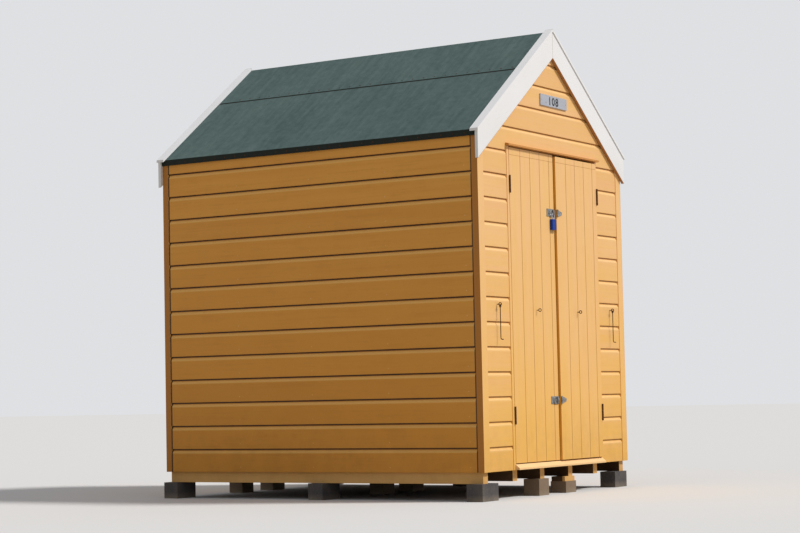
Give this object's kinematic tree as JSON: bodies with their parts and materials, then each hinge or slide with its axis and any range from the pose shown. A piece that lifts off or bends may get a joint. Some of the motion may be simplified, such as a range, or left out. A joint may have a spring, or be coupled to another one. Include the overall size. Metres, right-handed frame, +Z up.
{
  "type": "beach hut",
  "caption": "Small gabled timber beach hut on pads, with shiplap walls, felt roof, white bargeboards and outward-opening double doors.",
  "frame": {"origin": "middle of the hut's bounding box in plan, at the level of the undersides of its pads", "axes": "+X to the right along the front, +Y from the front into the hut, +Z up"},
  "size_m": [1.824, 2.2664, 2.7119],
  "materials": {
    "orange_paint": "worn gloss paint on timber",
    "white_paint": "white paint on timber",
    "felt": "mineral roofing felt",
    "bare_timber": "unpainted softwood",
    "dark_pad": "dark concrete block",
    "grey_plate": "dull",
    "galvanised": "weathered zinc",
    "dark_steel": "rusty and part painted",
    "blue_lock": "blue coating",
    "steel": "plated steel"
  },
  "bodies": {
    "hut": {"pads": "dark_pad", "packing_piece": "orange_paint", "joists": "orange_paint", "floor": "bare_timber", "left_wall": "orange_paint", "right_wall": "orange_paint", "back_wall": "orange_paint", "front_wall_left": "orange_paint", "front_wall_right": "orange_paint", "front_header": "orange_paint", "front_gable": "orange_paint", "corner_trims": "orange_paint", "side_wall_plates": "bare_timber", "end_wall_plates": "bare_timber", "wall_studs": "bare_timber", "roof_timbers": "bare_timber", "roof_left": "bare_timber", "roof_right": "bare_timber", "felt_lower_sheets": "felt", "felt_ridge_sheet": "felt", "left_bargeboards": "white_paint", "right_bargeboards": "white_paint", "left_barge_caps": "white_paint", "right_barge_caps": "white_paint", "door_jambs": "orange_paint", "door_head": "orange_paint", "drip_bar": "orange_paint", "cill": "orange_paint", "threshold": "orange_paint", "number_plate": "grey_plate", "frame_hinges": "dark_steel", "hook_eyes": "dark_steel"},
    "left_leaf": {"left_door": "orange_paint", "left_door_ledges": "bare_timber", "left_door_hinges": "dark_steel", "left_hasp_straps": "galvanised", "left_door_staples": "galvanised", "padlock_shackle": "steel", "padlock_body": "blue_lock"},
    "right_leaf": {"right_door": "orange_paint", "right_door_ledges": "bare_timber", "right_door_hinges": "dark_steel", "right_hasp_plates": "galvanised", "right_door_eye": "dark_steel"},
    "left_cabin_hook": {"left_hook": "dark_steel"},
    "right_cabin_hook": {"right_hook": "dark_steel"}
  },
  "joints": [
    {"name": "left_door_swing", "type": "hinge", "parent": "hut", "child": "left_leaf", "pos_m": [-0.529, -1.09597, 1.0845], "axis": [0, 0, -1], "range_deg": [0, 135]},
    {"name": "right_door_swing", "type": "hinge", "parent": "hut", "child": "right_leaf", "pos_m": [0.529, -1.10797, 1.0845], "axis": [0, 0, 1], "range_deg": [0, 135]},
    {"name": "left_hook_swing", "type": "hinge", "parent": "hut", "child": "left_cabin_hook", "pos_m": [-0.697, -1.10777, 1.069], "axis": [0, 1, 0], "range_deg": [-35, 35]},
    {"name": "right_hook_swing", "type": "hinge", "parent": "hut", "child": "right_cabin_hook", "pos_m": [0.697, -1.10777, 1.069], "axis": [0, 1, 0], "range_deg": [-35, 35]}
  ]
}
